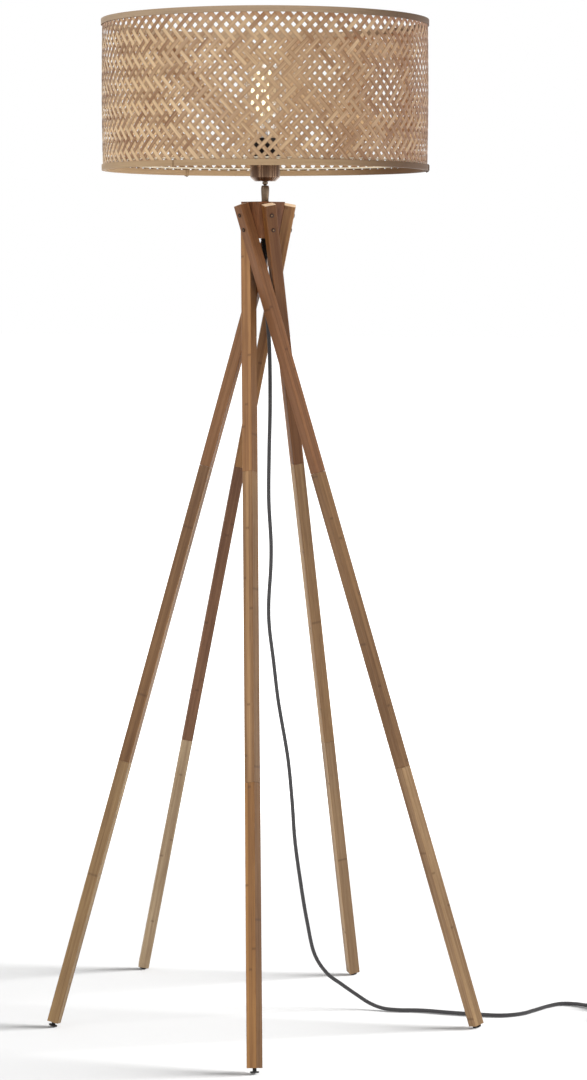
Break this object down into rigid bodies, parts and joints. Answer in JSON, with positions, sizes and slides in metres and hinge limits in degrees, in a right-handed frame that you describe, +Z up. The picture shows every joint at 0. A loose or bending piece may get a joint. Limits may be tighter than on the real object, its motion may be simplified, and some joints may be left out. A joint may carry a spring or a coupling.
{
  "type": "floor lamp",
  "caption": "Floor lamp on crossed bamboo legs that splay from a wooden hub, with a tilting lampholder, a woven bamboo drum shade, and a textile cord with foot switch and plug.",
  "frame": {"origin": "on the floor, below the middle of the lamp's box, the cord and what is on it left out", "axes": "+Z up, -Y the front of the picture, +X to the right of the picture, where the cord leaves"},
  "size_m": [0.982, 0.6508, 1.5588],
  "materials": {
    "pale_bamboo": "satin clear lacquer on light laminated bamboo",
    "brown_bamboo": "satin clear lacquer on brown laminated bamboo",
    "dark_bamboo": "satin clear lacquer on dark laminated bamboo",
    "hub_bamboo": "satin, end grain shown below",
    "woven_bamboo": "matt split-bamboo strips in an open twill",
    "rim_bamboo": "matt grey-tan bamboo band",
    "steel": "zinc plated",
    "black_steel": "black lacquer",
    "bronze": "satin dark bronze",
    "black_plastic": "matt black",
    "grey_plastic": "matt dark grey",
    "textile": "braided dark grey textile",
    "clear_glass": "clear, faintly amber"
  },
  "bodies": {
    "stand": {"hub_block": "hub_bamboo", "front_leg_lower": "brown_bamboo", "front_leg_middle": "pale_bamboo", "front_leg_upper": "brown_bamboo", "front_lower_stud": "steel", "front_upper_stud": "steel", "front_low_screw": "black_steel", "front_high_screw": "black_steel", "right_leg_lower": "pale_bamboo", "right_leg_middle": "brown_bamboo", "right_leg_upper": "brown_bamboo", "right_lower_stud": "steel", "right_upper_stud": "steel", "right_low_screw": "black_steel", "right_high_screw": "black_steel", "back_right_leg_lower": "pale_bamboo", "back_right_leg_middle": "brown_bamboo", "back_right_leg_upper": "brown_bamboo", "back_right_lower_stud": "steel", "back_right_upper_stud": "steel", "back_right_low_screw": "black_steel", "back_right_high_screw": "black_steel", "back_left_leg_lower": "pale_bamboo", "back_left_leg_middle": "brown_bamboo", "back_left_leg_upper": "dark_bamboo", "back_left_lower_stud": "steel", "back_left_upper_stud": "steel", "back_left_low_screw": "black_steel", "back_left_high_screw": "black_steel", "left_leg_lower": "pale_bamboo", "left_leg_middle": "brown_bamboo", "left_leg_upper": "brown_bamboo", "left_lower_stud": "steel", "left_upper_stud": "steel", "left_low_screw": "black_steel", "left_high_screw": "black_steel", "stem": "bronze", "strain_relief": "black_plastic", "cord_run": "textile", "cord_coil": "textile", "foot_switch_body": "grey_plastic", "plug": "grey_plastic"},
    "front_foot": {"front_levelling_foot": "steel"},
    "right_foot": {"right_levelling_foot": "steel"},
    "back_right_foot": {"back_right_levelling_foot": "steel"},
    "back_left_foot": {"back_left_levelling_foot": "steel"},
    "left_foot": {"left_levelling_foot": "steel"},
    "swivel_washer": {"swivel_washer": "steel"},
    "head": {"swivel_ball": "bronze", "holder_cup": "bronze", "lampholder": "black_plastic", "shade_clamp_ring": "black_plastic", "shade_spider": "black_steel", "shade_weave": "woven_bamboo", "shade_bottom_rim": "rim_bamboo", "shade_top_rim": "rim_bamboo"},
    "bulb": {"bulb_cap": "steel", "bulb_glass": "clear_glass"},
    "pedal": {"foot_switch_pedal": "black_plastic"}
  },
  "joints": [
    {"name": "front_foot_thread", "type": "slide", "parent": "stand", "child": "front_foot", "axis": [0.0148, -0.2827, -0.9591], "range_m": [-0.004, 0.005]},
    {"name": "right_foot_thread", "type": "slide", "parent": "stand", "child": "right_foot", "axis": [0.283, -0.0497, -0.9578], "range_m": [-0.001, 0.008]},
    {"name": "back_right_foot_thread", "type": "slide", "parent": "stand", "child": "back_right_foot", "axis": [0.1149, 0.2244, -0.9677], "range_m": [-0.001, 0.008]},
    {"name": "back_left_foot_thread", "type": "slide", "parent": "stand", "child": "back_left_foot", "axis": [-0.177, 0.2235, -0.9585], "range_m": [-0.001, 0.008]},
    {"name": "left_foot_thread", "type": "slide", "parent": "stand", "child": "left_foot", "axis": [-0.2578, -0.0914, -0.9619], "range_m": [-0.0035, 0.0055]},
    {"name": "swivel_nod", "type": "hinge", "parent": "stand", "child": "swivel_washer", "pos_m": [-0.00983, 0.02932, 1.2995], "axis": [1, 0, 0], "range_deg": [-10, 10]},
    {"name": "swivel_sway", "type": "hinge", "parent": "swivel_washer", "child": "head", "pos_m": [-0.00983, 0.02932, 1.2995], "axis": [0, 1, 0], "range_deg": [-10, 10]},
    {"name": "bulb_out", "type": "slide", "parent": "head", "child": "bulb", "axis": [-0.007, 0.0044, 1], "range_m": [0, 0.03]},
    {"name": "pedal_press", "type": "slide", "parent": "stand", "child": "pedal", "axis": [0, 0, -1], "range_m": [0, 0.003], "stiffness_N_per_m": 800, "springref_m": -0.003}
  ]
}
